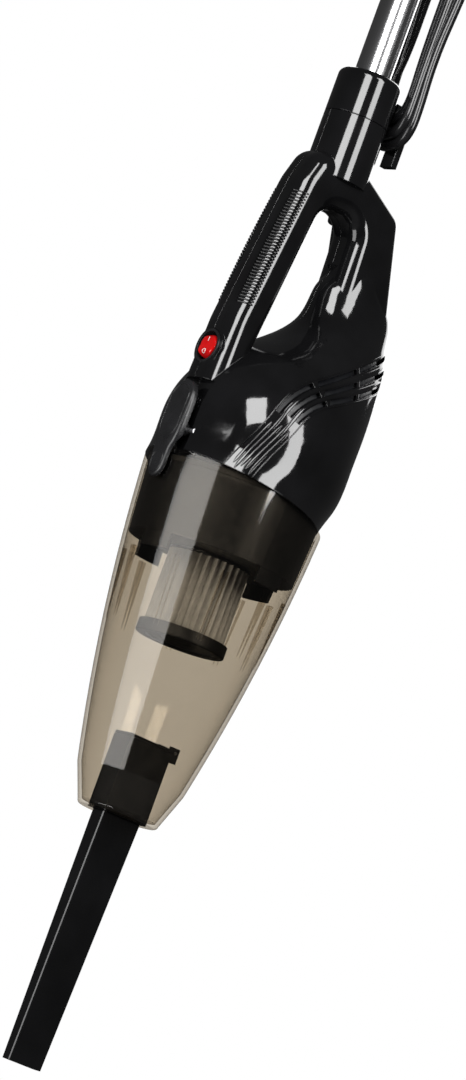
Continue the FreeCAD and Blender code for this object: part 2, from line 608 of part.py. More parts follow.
def motor():
    cover = cylinder("cover_blank", "fan_radius", "fan_high - fan_low", z="fan_low")
    inside = cylinder("cover_inside", "fan_radius - fan_wall", "fan_high - fan_low", z="fan_low + fan_wall")
    eye = cylinder("cover_eye", 14, 10, z="fan_low - 2")
    keep("fan_cover", cut("cover_cut", cover, inside, eye))
    backplate = cylinder("impeller_plate", "impeller_radius", 1, z="fan_low + 10")
    hub = cylinder("impeller_hub", 7, 6, z="fan_low + 5")
    blades = []
    for index in range(9):
        blade = box("impeller_blade", 26, 1, 5.2, 0, 0, "fan_low + 5")
        blades.append(turn_box(blade, 40 * index, 9, -4, 24))
    bore = cylinder("impeller_bore", "shaft_radius", 30, z="fan_low")
    keep("impeller", cut("impeller_cut", fuse("impeller_blank", backplate, hub, *blades), bore))
    keep("motor_shaft", cylinder("shaft", "shaft_radius", "shaft_high - shaft_low", z="shaft_low"))
    for name, level in (("bearing_lower", "fan_high + 1"), ("bearing_upper", "commutator_high + 3")):
        keep(name, ring(name + "_ring", "bearing_radius", "shaft_radius + fit", "bearing_height", z=level))
    plate = cylinder("bracket_plate", "fan_radius", 2.4, z="fan_high")
    seat = cylinder("bracket_seat", "bearing_radius + 2", "bearing_height + 2", z="fan_high")
    room = cylinder("bracket_room", "bearing_radius", "bearing_height + 4", z="fan_high + 1")
    passage = cylinder("bracket_passage", "shaft_radius + 1", 20, z="fan_high - 5")
    ports = [cylinder("bracket_port", 5, 10, 30 * math.cos(math.radians(60 * index)),
                      30 * math.sin(math.radians(60 * index)), "fan_high - 4") for index in range(6)]
    keep("motor_bracket_lower", cut("bracket_cut", fuse("bracket_blank", plate, seat), room, passage, *ports))
    stack = ring("stator_stack", "stator_radius", "stator_bore", "stator_high - stator_low", z="stator_low")
    keep("stator_core", stack)
    coils = [ring("field_coil", "stator_radius - 2.5", "stator_bore + 1.5", 3.6, z=level)
             for level in ("stator_low - 3.6", "stator_high")]
    keep("field_windings", fuse("coils", *coils))
    iron = cylinder("armature_iron", "armature_radius", "stator_high - stator_low", z="stator_low")
    ends = cylinder("armature_ends", 13, "stator_high - stator_low + 2", z="stator_low - 1")
    bore = cylinder("armature_bore", "shaft_radius", 60, z="stator_low - 10")
    keep("armature", cut("armature_cut", fuse("armature_blank", iron, ends), bore))
    bars = ring("commutator_ring", "commutator_radius", "shaft_radius", "commutator_high - commutator_low",
                z="commutator_low")
    keep("commutator", bars)
    frame = box("frame_bridge", 60, 18, 4, 0, 0, "commutator_high + 2")
    legs = [box("frame_leg", 3, 18, "commutator_high + 6 - stator_high", side * 28.5, 0, "stator_high")
            for side in (-1, 1)]
    cup = cylinder("frame_cup", "bearing_radius + 2", "bearing_height + 3", z="commutator_high + 2")
    room = cylinder("frame_room", "bearing_radius", "bearing_height + 1", z="commutator_high + 2")
    keep("motor_bracket_upper", cut("frame_cut", fuse("frame_blank", frame, cup, *legs), room))
    brushes = [box("brush", 10, 5, 5, side * 13.4, 0, "commutator_low + 1.5") for side in (-1, 1)]
    keep("carbon_brushes", fuse("brushes", *brushes))
    sleeves = []
    for side in (-1, 1):
        outer = box("sleeve", 12, 8, 8, side * 18, 0, "commutator_low")
        inner = box("sleeve_bore", 14, 5, 5, side * 18, 0, "commutator_low + 1.5")
        sleeves.append(cut("brush_sleeve", outer, inner))
    keep("brush_holders", fuse("sleeves", *sleeves))
    keep("motor_mount_ring", ring("mount", "fan_radius + 3.4", "fan_radius + 0.05", 5, z="fan_low + 5"))
    keep("exhaust_foam", ring("foam", 47, 43.5, 18, y=4, z="stator_low"))


# ---------- rod, its socket and the top handle ----------

def hook(name, back, neck, finger_foot, finger):
    """A neck reaching back from a sleeve, ended by a finger that keeps the cord on it."""
    reach = box(name + "_neck", "2 * neck_half", "finger_back - 13", "neck_height", 0,
                f"(finger_back + 13) / 2 + ({back})", neck)
    tongue = box(name + "_finger", "2 * finger_half", "finger_back - finger_front", finger, 0,
                 f"(finger_back + finger_front) / 2 + ({back})", finger_foot)
    return reach, tongue


def rod_socket():
    bore = D.rod_radius + D.fit
    outline = ((bore, D.collar_high), (bore, D.rod_low), (bore - 2, D.rod_low), (bore - 2, D.collar_seam - 26),
               (D.socket_bore - 0.1, D.collar_seam - 26), (D.socket_bore - 0.1, D.collar_seam),
               (D.collar_radius, D.collar_seam), (D.collar_radius, D.collar_high - 4),
               (D.collar_radius - 4, D.collar_high, D.collar_radius - 1.2, D.collar_high - 1.2))
    sleeve = turned("socket_sleeve", *outline)
    put(sleeve, 0, "-machine_back", 0)
    lower_hook = hook("lower_hook", "-machine_back", "neck_level", "neck_level + neck_height - lower_finger",
                      "lower_finger")
    keep("rod_socket", fuse("socket", sleeve, *lower_hook))


def rod():
    length = "cup_drop - rod_low + rod_top"
    keep("rod_tube", ring("rod", "rod_radius", "rod_radius - rod_wall", length, z="rod_low - cup_drop"), False)


def top_handle():
    bore = D.rod_radius + D.fit
    low, high, sleeve = D.handle_low, D.handle_high, D.handle_sleeve
    grip = turned("handle_grip", (bore, low), (sleeve, low), (sleeve, low + 34),
                  (13.6, low + 52, 14, low + 42), (14.2, high - 4, 16.6, low + 88),
                  (12.2, high, 13.8, high - 1.2), (9.8, high), (9.8, D.rod_top + 0.1), (bore, D.rod_top + 0.1))
    upper_hook = hook("upper_hook", "0", "upper_neck", "upper_neck", "upper_finger")
    hole = cylinder("handle_screw_hole", 1.55, 20, 0, -20, "handle_low + 24", "Y")
    sink = cylinder("handle_screw_sink", 3.1, 6, 0, -19, "handle_low + 24", "Y")
    keep("top_handle", cut("handle_cut", fuse("handle_blank", grip, *upper_hook), hole, sink), False)
    head = cylinder("handle_screw_head", 3, 1.8, 0, -15, "handle_low + 24", "Y")
    shank = cylinder("handle_screw_shank", 1.5, 2.1, 0, -13.2, "handle_low + 24", "Y")
    keep("handle_screw", fuse("handle_screw_blank", head, shank), False)
    stem = cylinder("hang_stem", 9.7, 16, z="handle_high - 16")
    flange = cylinder("hang_flange", 12.2, 4, z="handle_high")
    waist = box("hang_waist", "2 * hang_lobe - 6", "hang_thickness", "-handle_high - 2", 0, 0, "handle_high + 2")
    lobe = cylinder("hang_disc", "hang_lobe", "hang_thickness", 0, "-hang_thickness / 2", 0, "Y")
    eye = cylinder("hang_eye", "hang_radius", 40, 0, -20, 0, "Y")
    keep("hang_cap", cut("hang_cut", fuse("hang_blank", stem, flange, waist, lobe), eye), False)


# ---------- mains cord ----------

GLAND_FOOT, GLAND_TIP = (-13.4, 22.4, -654), (-25, 22.4, -622)
LEAD = (GLAND_TIP, (-30.2, 22.2, -605.5), (-33.4, 21.8, -583), (-34.6, 21.6, -556), (-34, 22.2, -527),
        (-31.2, 23.4, -500), (-27.4, 24.8, -475), (-24.6, 25.4, -456))
TAIL = ((24.4, 25.2, -132), (29, 25.4, -152), (33.6, 25.8, -176), (37.6, 26.4, -204), (40, 26.8, -232),
        (40.8, 27, -260), (40.8, 27, -290))


def gland_and_cable():
    """The tapered strain relief on the left side of the handle, and the cable behind it."""
    run = Vector(*GLAND_TIP) - Vector(*GLAND_FOOT)
    gland = doc.addObject("Part::Cone", "gland_cone")
    bind(gland, Radius1=6.4, Radius2="cord_radius + 1", Height=round(run.Length, 3))
    home = Vector(0, D.machine_back, -D.cup_drop)
    gland.Placement = FreeCAD.Placement(Vector(*GLAND_FOOT) - home, FreeCAD.Rotation(Vector(0, 0, 1), run))
    foot = Vector(*GLAND_FOOT) - home
    inner = cylinder_between("cable_bar", (foot.x, foot.y, foot.z), (-5, 20, 322), D.cord_radius)
    return gland, inner


def cord():
    keep("cord_lead", shape_of("lead", cable(LEAD, D.cord_radius)), False)
    keep("cord_tail", shape_of("tail", cable(TAIL, D.cord_radius)), False)
    owner = body("hank")
    half, bulge, low, high = D.hank_half, D.hank_bulge, D.hank_low, D.hank_high
    middle = (low + high) / 2
    bend = 22
    outer = closed((half - bend, low), (half, low + bend, half - 6.4, low + 6.4),
                   (half, high - bend, half + bulge, middle), (half - bend, high, half - 6.4, high - 6.4),
                   (-half + bend, high), (-half, high - bend, -half + 6.4, high - 6.4),
                   (-half, low + bend, -half - bulge, middle), (-half + bend, low, -half + 6.4, low + 6.4))
    slot = D.hank_slot
    inner = rounded((-slot, low + D.hank_stack, 9), (slot, low + D.hank_stack, 9),
                    (slot, high - D.hank_upper_stack, 9), (-slot, high - D.hank_upper_stack, 9))
    drawing = sketch(owner, "XZ_Plane", outer + inner, "-hank_back")
    pad(owner, drawing, "hank_back - hank_front")
    keep("cord_hank", owner, False)
    x, y, z = TAIL[-1]
    boot = cone("plug_boot", 6.2, "cord_radius + 0.6", 24, x, y, z - 24)
    block = body("plug_block")
    pad(block, sketch(block, "XY_Plane", rectangle(14, 27, 6, x, y), z - 46), 24)
    keep("plug_body", fuse("plug", boot, block), False)
    pins = [cylinder("plug_pin", 2, 19, x, y + side * 7, z - 65) for side in (-1, 1)]
    keep("plug_pins", fuse("pins", *pins), False)


def wires():
    """Two leads from the cable's end over the motor to the switch."""
    runs = []
    for side in (-1, 1):
        points = ((side * 2.2 - 3, 19, 317), (side * 2.2 - 2, 11, 299), (side * 2.2, 0, 292.5),
                  (side * 2.2, -13, 284), (side * 2.2, -21, 271), (side * 2.2, -27.5, D.terminal_level))
        runs.append(cable(points, 1))
    keep("internal_wires", shape_of("wire_pair", Part.makeCompound(runs)))


# ---------- the model ----------

def build():
    dust_cup()
    inlet_duct()
    inlet_flap()
    crevice_tool()
    filter_holder()
    filter_cartridge()
    housing()
    gland, inner = gland_and_cable()
    keep("cord_gland", gland)
    keep("inner_cable", inner)
    switch()
    latch()
    motor()
    rod_socket()
    rod()
    top_handle()
    cord()
    wires()


def export():
    doc.recompute()
    failed = [item.Label for item in doc.Objects if {"Invalid", "Error"} & set(item.State)]
    bad = [item.Label for item in nodes if item.Shape.isNull() or not item.Shape.isValid()]
    if failed or bad:
        raise RuntimeError(f"failed objects: {failed}, bad shapes: {bad}")
    os.makedirs("parts", exist_ok=True)
    for item in nodes:
        solids = item.Shape.Solids
        print(f"{item.Label}: {len(solids)} solid(s), {sum(solid.Volume for solid in solids) / 1000:.2f} cm3")
        item.Shape.exportStep(os.path.join("parts", item.Label + ".step"))


build()
export()
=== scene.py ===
"""Blender 4.5 scene of a corded stick vacuum cleaner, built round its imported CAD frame.

The frame is in metres, with +Z up the stick. Places on the hand-held machine are given in millimetres from
the middle of its cup's floor, and machine() turns them into the frame's metres. The front, with its switch
and latch, faces -Y.
"""

import bpy
import bmesh
import json
import math
from mathutils import Matrix, Vector
from mathutils.bvhtree import BVHTree


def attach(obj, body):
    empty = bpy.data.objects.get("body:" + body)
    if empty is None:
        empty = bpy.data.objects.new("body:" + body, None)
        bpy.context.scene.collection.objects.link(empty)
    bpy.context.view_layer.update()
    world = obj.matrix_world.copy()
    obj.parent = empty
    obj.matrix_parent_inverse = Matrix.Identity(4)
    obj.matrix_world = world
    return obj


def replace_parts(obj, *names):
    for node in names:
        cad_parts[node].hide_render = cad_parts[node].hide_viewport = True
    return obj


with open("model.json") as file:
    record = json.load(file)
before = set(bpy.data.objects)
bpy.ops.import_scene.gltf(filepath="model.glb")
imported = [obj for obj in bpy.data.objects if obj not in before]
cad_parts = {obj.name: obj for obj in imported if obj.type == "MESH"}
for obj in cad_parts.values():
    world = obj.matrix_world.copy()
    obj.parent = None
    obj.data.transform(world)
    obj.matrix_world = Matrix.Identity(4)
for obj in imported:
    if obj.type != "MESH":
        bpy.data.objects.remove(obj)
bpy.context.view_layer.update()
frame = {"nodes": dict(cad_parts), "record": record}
NODES = frame["nodes"]
MM = 0.001
MACHINE_BACK, MACHINE_LEVEL = 9.5, -1030


def metres(x, y, z):
    """A point in millimetres in the frame, in metres."""
    return Vector((x, y, z)) * MM


def machine(x, y, z):
    """A point in millimetres from the middle of the cup's floor, in the frame's metres."""
    return metres(x, y + MACHINE_BACK, z + MACHINE_LEVEL)


# ---------- materials ----------

def node(tree, kind, **inputs):
    """A shader node whose named inputs are set to values or linked to sockets."""
    made = tree.nodes.new(kind)
    for name, value in inputs.items():
        socket = made.inputs[name.replace("_", " ")]
        if isinstance(value, bpy.types.NodeSocket):
            tree.links.new(value, socket)
        else:
            socket.default_value = value
    return made


def noise(tree, scale, detail=4, stretch=(1, 1, 1)):
    """Noise in object space, so that it stays on its piece at every pose."""
    place = tree.nodes.new("ShaderNodeTexCoord").outputs["Object"]
    mapping = node(tree, "ShaderNodeMapping", Vector=place, Scale=stretch)
    return node(tree, "ShaderNodeTexNoise", Vector=mapping.outputs[0], Scale=scale, Detail=detail).outputs[0]


def between(tree, factor, low, high):
    """A number or colour that runs from low to high with the factor's middle range."""
    ramp = tree.nodes.new("ShaderNodeMapRange") if not hasattr(low, "__len__") else None
    if ramp:
        tree.links.new(factor, ramp.inputs["Value"])
        for name, value in (("From Min", 0.3), ("From Max", 0.7), ("To Min", low), ("To Max", high)):
            ramp.inputs[name].default_value = value
        return ramp.outputs[0]
    colours = tree.nodes.new("ShaderNodeValToRGB")
    tree.links.new(factor, colours.inputs[0])
    for stop, place, colour in zip(colours.color_ramp.elements, (0.3, 0.7), (low, high)):
        stop.position = place
        stop.color = (*colour, 1)
    return colours.outputs[0]


def finish(name, dark, light, rough, scale=60, grain=900, bump=0.05, depth=0.0002, edge=0.0, metal=0.0,
           stretch=(1, 1, 1), constants=()):
    """A plastic, rubber or metal: its colour and gloss drift a little, and its surface has a fine grain."""
    material = bpy.data.materials.new(name)
    material.use_nodes = True
    tree = material.node_tree
    shader = tree.nodes["Principled BSDF"]
    drift = noise(tree, scale, 3, stretch)
    tree.links.new(between(tree, drift, dark, light), shader.inputs["Base Color"])
    tree.links.new(between(tree, noise(tree, scale * 2.7, 5, stretch), *rough), shader.inputs["Roughness"])
    fine = node(tree, "ShaderNodeBump", Strength=bump, Distance=depth, Height=noise(tree, grain, 3, stretch))
    if edge:
        rounding = node(tree, "ShaderNodeBevel", Radius=edge)
        rounding.samples = 4
        tree.links.new(rounding.outputs[0], fine.inputs["Normal"])
    tree.links.new(fine.outputs[0], shader.inputs["Normal"])
    shader.inputs["Metallic"].default_value = metal
    for socket, value in constants:
        shader.inputs[socket].default_value = value
    return material


def smoked():
    """Clear smoke-brown plastic: what is behind shows tinted, more so at a slant, under a sharp gloss."""
    material = bpy.data.materials.new("smoke_clear")
    material.use_nodes = True
    tree = material.node_tree
    tree.nodes.remove(tree.nodes["Principled BSDF"])
    thin = between(tree, noise(tree, 9, 2, (1, 1, 0.3)), (0.79, 0.757, 0.702), (0.82, 0.788, 0.735))
    slant = node(tree, "ShaderNodeLayerWeight", Blend=0.05).outputs["Facing"]
    tint = node(tree, "ShaderNodeMix")
    tint.data_type = "RGBA"
    sockets = {(socket.type, socket.name): socket for socket in tint.inputs}
    tree.links.new(slant, sockets["VALUE", "Factor"])
    tree.links.new(thin, sockets["RGBA", "A"])
    sockets["RGBA", "B"].default_value = (0.42, 0.36, 0.28, 1)
    tinted = [out for out in tint.outputs if out.type == "RGBA"][0]
    ripple = noise(tree, 55, 2, (1, 1, 0.4))
    wave = node(tree, "ShaderNodeBump", Strength=0.04, Distance=0.0006, Height=ripple)
    passing = node(tree, "ShaderNodeBsdfTransparent", Color=tinted)
    gloss = node(tree, "ShaderNodeBsdfGlossy", Color=(1, 1, 1, 1), Normal=wave.outputs[0],
                 Roughness=between(tree, noise(tree, 40, 4), 0.04, 0.09))
    turned = node(tree, "ShaderNodeLayerWeight", Blend=0.5, Normal=wave.outputs[0]).outputs["Facing"]
    rise = node(tree, "ShaderNodeMath", Value=turned)
    rise.operation = "POWER"
    rise.inputs[1].default_value = 5
    mirror = node(tree, "ShaderNodeMapRange", Value=rise.outputs[0])
    mirror.inputs["To Min"].default_value = 0.028
    mirror.inputs["To Max"].default_value = 0.6
    mixed = node(tree, "ShaderNodeMixShader", Fac=mirror.outputs[0])
    tree.links.new(passing.outputs[0], mixed.inputs[1])
    tree.links.new(gloss.outputs[0], mixed.inputs[2])
    tree.links.new(mixed.outputs[0], tree.nodes["Material Output"].inputs["Surface"])
    return material


MATERIALS = {
    "gloss_black": finish("gloss_black", (0.003, 0.003, 0.0032), (0.0055, 0.0055, 0.006), (0.045, 0.1),
                          35, 700, 0.03, 0.00012, 0.0007,
                          constants=(("Coat Weight", 0.25), ("Coat Roughness", 0.03))),
    "satin_black": finish("satin_black", (0.009, 0.009, 0.0095), (0.014, 0.014, 0.015), (0.24, 0.34),
                          80, 2000, 0.08, 0.00004, 0.0005),
    "inner_black": finish("inner_black", (0.006, 0.0066, 0.0082), (0.0095, 0.0102, 0.0122), (0.3, 0.45),
                          60, 500, 0.05, 0.00003, 0.0004),
    "smoke_clear": smoked(),
    "filter_paper": finish("filter_paper", (0.40, 0.40, 0.395), (0.50, 0.50, 0.49), (0.8, 0.95),
                           260, 2400, 0.3, 0.0001),
    "chrome": finish("chrome", (0.60, 0.60, 0.61), (0.70, 0.70, 0.71), (0.16, 0.22),
                     30, 300, 0, 0.00002, metal=1, stretch=(1, 1, 0.03)),
    "red_gloss": finish("red_gloss", (0.42, 0.002, 0.003), (0.62, 0.006, 0.006), (0.06, 0.14),
                        120, 900, 0.03, 0.0001, 0.0004,
                        constants=(("Coat Weight", 0.6), ("Coat Roughness", 0.05))),
    "cord_rubber": finish("cord_rubber", (0.006, 0.006, 0.0065), (0.010, 0.010, 0.0105), (0.16, 0.24),
                          160, 3000, 0.06, 0.00005),
    "seal_rubber": finish("seal_rubber", (0.012, 0.012, 0.0125), (0.019, 0.019, 0.0195), (0.5, 0.65),
                          120, 700, 0.15, 0.00005),
    "steel": finish("steel", (0.42, 0.42, 0.43), (0.58, 0.58, 0.6), (0.2, 0.34), 90, 1500, 0.1, 0.00005,
                    metal=1),
    "aluminium": finish("aluminium", (0.55, 0.56, 0.57), (0.68, 0.69, 0.7), (0.28, 0.42),
                        80, 1200, 0.12, 0.00005, metal=1),
    "copper": finish("copper", (0.55, 0.22, 0.10), (0.72, 0.32, 0.16), (0.22, 0.36),
                     300, 1600, 0.5, 0.0002, metal=1, stretch=(1, 1, 6)),
    "nickel": finish("nickel", (0.58, 0.55, 0.5), (0.7, 0.67, 0.62), (0.14, 0.24), 90, 1500, 0.06, 0.00005,
                     metal=1),
    "carbon": finish("carbon", (0.02, 0.02, 0.022), (0.04, 0.04, 0.043), (0.45, 0.6), 200, 2400, 0.4, 0.0001),
    "foam": finish("foam", (0.05, 0.05, 0.052), (0.12, 0.12, 0.125), (0.9, 1.0), 700, 900, 0.9, 0.001),
}
MARK_WHITE = finish("mark_white", (0.75, 0.72, 0.7), (0.86, 0.83, 0.8), (0.3, 0.45), 300, 1500, 0.1, 0.00005)

for part in frame["record"]["subparts"]:
    holder = NODES[part["node"]]
    holder.data.materials.clear()
    holder.data.materials.append(MATERIALS[part["material_slot"]])


# ---------- pieces ----------

def mesh_piece(name, verts, faces, slot, body="root", smooth=True):
    """A mesh in the frame's metres, finished in a material slot and riding on a body."""
    mesh = bpy.data.meshes.new(name)
    mesh.from_pydata([tuple(v) for v in verts], [], faces)
    tidy = bmesh.new()
    tidy.from_mesh(mesh)
    bmesh.ops.recalc_face_normals(tidy, faces=tidy.faces)
    tidy.to_mesh(mesh)
    tidy.free()
    mesh.shade_smooth() if smooth else mesh.shade_flat()
    piece = bpy.data.objects.new(name, mesh)
    bpy.context.scene.collection.objects.link(piece)
    mesh.materials.append(MATERIALS[slot])
    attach(piece, body)
    return piece


def skin(rings, closed_ends=True):
    """Vertices and faces of a skin over rings of equal counts, each a closed loop."""
    verts = [point for loop in rings for point in loop]
    count = len(rings[0])
    faces = []
    for row in range(len(rings) - 1):
        for i in range(count):
            j = (i + 1) % count
            faces.append((row * count + i, row * count + j, (row + 1) * count + j, (row + 1) * count + i))
    if closed_ends:
        faces.append(tuple(reversed(range(count))))
        faces.append(tuple(range((len(rings) - 1) * count, len(rings) * count)))
    return verts, faces


def gather(skins):
    """Vertices and faces of several skins as one mesh."""
    verts, faces = [], []
    for more_verts, more_faces in skins:
        faces += [tuple(k + len(verts) for k in face) for face in more_faces]
        verts += more_verts
    return verts, faces


def weld(piece):
    """Joins vertices that lie on each other."""
    joined = bmesh.new()
    joined.from_mesh(piece.data)
    bmesh.ops.remove_doubles(joined, verts=joined.verts, dist=1e-6)
    bmesh.ops.recalc_face_normals(joined, faces=joined.faces)
    joined.to_mesh(piece.data)
    joined.free()


def sharpen(piece, degrees):
    """Keeps edges steeper than this crisp."""
    mesh = piece.data
    mesh.set_sharp_from_angle(angle=math.radians(degrees))
    return piece


def line_piece(name, points, radius, slot, body="root", cyclic=False):
    """A thin round bead along points, as a mesh."""
    curve = bpy.data.curves.new(name, "CURVE")
    curve.dimensions = "3D"
    curve.bevel_depth = radius
    curve.bevel_resolution = 3
    spline = curve.splines.new("POLY")
    spline.points.add(len(points) - 1)
    for target, point in zip(spline.points, points):
        target.co = (*point, 1)
    spline.use_cyclic_u = cyclic
    curve.use_fill_caps = not cyclic
    temporary = bpy.data.objects.new(name + "_curve", curve)
    mesh = bpy.data.meshes.new_from_object(temporary)
    bpy.data.objects.remove(temporary)
    piece = bpy.data.objects.new(name, mesh)
    bpy.context.scene.collection.objects.link(piece)
    mesh.materials.clear()
    mesh.materials.append(MATERIALS[slot])
    mesh.shade_smooth()
    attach(piece, body)
    return piece


# ---------- camera and surroundings ----------

# Height of the view at the object, and the camera's distance and angles.
FRAME_HIGH = 0.626
CAMERA_AWAY, AZIMUTH, ELEVATION, ROLL = 3.0, 55, -8.5, 20
AIM = Vector((0.00490, 0.01650, -0.856))


def camera_axes():
    """Right, up and back of the camera, rolled so that the stick's top leans to the right."""
    a, e, r = (math.radians(value) for value in (AZIMUTH, ELEVATION, ROLL))
    back = Vector((math.sin(a) * math.cos(e), -math.cos(a) * math.cos(e), math.sin(e)))
    side = Vector((math.cos(a), math.sin(a), 0))
    upright = back.cross(side)
    right = side * math.cos(r) + upright * math.sin(r)
    up = upright * math.cos(r) - side * math.sin(r)
    return right, up, back


RIGHT, UP, BACK = camera_axes()


def add_camera():
    data = bpy.data.cameras.new("camera")
    data.sensor_width = 36
    data.lens = data.sensor_width * CAMERA_AWAY / FRAME_HIGH
    data.clip_end = 50
    camera = bpy.data.objects.new("camera", data)
    bpy.context.scene.collection.objects.link(camera)
    turn = Matrix((RIGHT, UP, BACK)).transposed().to_4x4()
    camera.matrix_world = Matrix.Translation(AIM + BACK * CAMERA_AWAY) @ turn
    bpy.context.scene.camera = camera


def softbox(name, place, wide, high, radiance):
    """A soft box at a place across, above and towards the camera from the middle of the view."""
    spot = AIM + RIGHT * place[0] + UP * place[1] + BACK * place[2]
    data = bpy.data.lights.new(name, "AREA")
    data.shape = "RECTANGLE"
    data.size, data.size_y = wide, high
    data.energy = radiance * wide * high * math.pi
    lamp = bpy.data.objects.new(name, data)
    lamp.visible_camera = False
    bpy.context.scene.collection.objects.link(lamp)
    back = (spot - AIM).normalized()
    side = UP.cross(back).normalized()
    turn = Matrix((side, back.cross(side), back)).transposed().to_4x4()
    lamp.matrix_world = Matrix.Translation(spot) @ turn


def pale_floor():
    """An evenly lit pale floor: it shows its own tone, and throws little light back at the object."""
    material = finish("floor", (0.10, 0.10, 0.10), (0.12, 0.12, 0.12), (0.8, 0.95), 1.5, 300, 0.02)
    tree = material.node_tree
    shader = tree.nodes["Principled BSDF"]
    tone = between(tree, noise(tree, 0.6, 2), (0.86, 0.86, 0.86), (0.89, 0.89, 0.89))
    tree.links.new(tone, shader.inputs["Emission Color"])
    seen = tree.nodes.new("ShaderNodeLightPath").outputs["Is Camera Ray"]
    tree.links.new(seen, shader.inputs["Emission Strength"])
    shader.inputs["Specular IOR Level"].default_value = 0
    return material


def surroundings():
    bpy.context.scene.view_settings.view_transform = "Standard"
    world = bpy.data.worlds.new("studio")
    bpy.context.scene.world = world
    world.use_nodes = True
    tree = world.node_tree
    rays = tree.nodes.new("ShaderNodeLightPath")
    level = node(tree, "ShaderNodeMapRange", Value=rays.outputs["Is Camera Ray"])
    level.inputs["To Min"].default_value = 0.05
    level.inputs["To Max"].default_value = 1.0
    tree.links.new(level.outputs[0], tree.nodes["Background"].inputs["Strength"])
    tree.nodes["Background"].inputs["Color"].default_value = (1, 1, 1, 1)
    floor_level, half = -1.45, 6
    mesh = bpy.data.meshes.new("floor")
    corners = [(x, y, floor_level) for x, y in ((-half, -half), (half, -half), (half, half), (-half, half))]
    mesh.from_pydata(corners, [], [(0, 1, 2, 3)])
    floor = bpy.data.objects.new("floor", mesh)
    bpy.context.scene.collection.objects.link(floor)
    mesh.materials.append(pale_floor())
    softbox("box_top", (0.04, 0.80, 1.0), 0.44, 0.66, 12)
    softbox("box_right", (0.74, 0.32, 0.68), 0.30, 0.85, 11)
    softbox("box_rear", (0.5, 0.5, -1.1), 0.9, 0.9, 2.5)
    softbox("box_left", (-0.80, 0.06, 0.78), 0.95, 1.05, 4.5)


# ---------- mains cord ----------

CORD_RADIUS = 3.4
# From the strain relief up the left side to where the cord joins the other runs.
LEAD = ((-25, 22.4, -622), (-30.2, 22.2, -605.5), (-33.4, 21.8, -583), (-34.6, 21.6, -556), (-34, 22.2, -527),
        (-31.8, 24, -500), (-29.6, 26.2, -470))
# From the last turn over the upper hook down the right side to the plug.
TAIL = ((24.4, 25.2, -132), (29, 25.4, -152), (33.6, 25.8, -176), (37.6, 26.4, -204), (40, 26.8, -232),
        (40.8, 27, -260), (40.8, 27, -290))
LOWER_NECK, UPPER_NECK, LAYER = -583.6, -132.5, 5
TURN_DEPTHS = (22.8, 27.2)
# A fold round a hook, as shares of its half width: across and away from the hook's middle.
FOLD = ((1.0, 1.12), (0.9, 0.46), (0.56, 0.1), (0.17, 0))
# Middles of the runs, left going up and right going down: across, depth, and lean of their bow.
LEFT_RUNS = ((-28.6, 27.9, 6), (-15.6, 27.8, -9), (-19.2, 22.4, 14), (-22.8, 27.9, 2), (-26.4, 22.6, -12))
RIGHT_RUNS = ((13.6, 22.4, -6), (17, 27.9, 10), (20.6, 22.5, -14), (24.4, 27.6, 4))
RUN_LEVELS = (-546, -508, -462, -408, -352, -296, -244, -200, -168)


def fold(middle, away, depth, half, side):
    """Points of a fold that starts on one side of a hook and ends on the other."""
    near = [(side * half * across, depth, middle + away * half * rise) for across, rise in FOLD]
    far = [(-x, y, z) for x, y, z in reversed(near)]
    return near + far


def run(track, foot, head, levels):
    """Points of one run between two folds, bowed out most near its middle."""
    across, depth, lean = track
    low, high = LOWER_NECK, UPPER_NECK
    start = sum(TURN_DEPTHS) / 2
    points = []
    for level in levels:
        share = (level - low) / (high - low)
        bow = math.sin(math.pi * share) ** 1.2
        ends = foot * (1 - share) + head * share
        points.append((ends + (across - ends) * bow + lean * 0.12 * math.sin(2 * math.pi * share),
                       start + (depth - start) * min(1, 1.6 * bow), level))
    return points


def cord_route():
    """The whole cord: up to the hooks, round them turn by turn, and down to the plug."""
    points = list(LEAD)
    up_levels = [level for level in RUN_LEVELS if level > LEAD[-1][2] + 20]
    for turn, track in enumerate(LEFT_RUNS):
        foot, head = -(9 + 1.2 * turn), -(14 + 1.2 * turn)
        points += run(track, foot, head, up_levels)
        up_levels = RUN_LEVELS
        crest = UPPER_NECK + CORD_RADIUS + 0.7 + LAYER * turn
        bend = fold(crest, -1, TURN_DEPTHS[turn % 2], 16 + 1.1 * turn, -1)
        if turn == len(RIGHT_RUNS):
            points += bend[:6]
            break
        points += bend
        points += run(RIGHT_RUNS[turn], 9 + 1.2 * turn, 14 + 1.2 * turn, tuple(reversed(RUN_LEVELS)))
        base = LOWER_NECK - CORD_RADIUS - 0.7 - LAYER * turn
        points += fold(base, 1, TURN_DEPTHS[turn % 2], 14 + 1.1 * turn, 1)
    return points + list(TAIL)


def add_cord():
    points = cord_route()
    curve = bpy.data.curves.new("mains_cord", "CURVE")
    curve.dimensions = "3D"
    curve.bevel_depth = CORD_RADIUS * MM
    curve.bevel_resolution = 5
    curve.resolution_u = 8
    curve.use_fill_caps = True
    spline = curve.splines.new("NURBS")
    spline.points.add(len(points) - 1)
    for target, point in zip(spline.points, points):
        target.co = (*metres(*point), 1)
    spline.order_u = 3
    spline.use_endpoint_u = True
    curve.materials.append(MATERIALS["cord_rubber"])
    piece = bpy.data.objects.new("mains_cord", curve)
    bpy.context.scene.collection.objects.link(piece)
    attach(piece, "root")
    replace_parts(piece, "cord_lead", "cord_hank", "cord_tail")


# ---------- filter pleats ----------

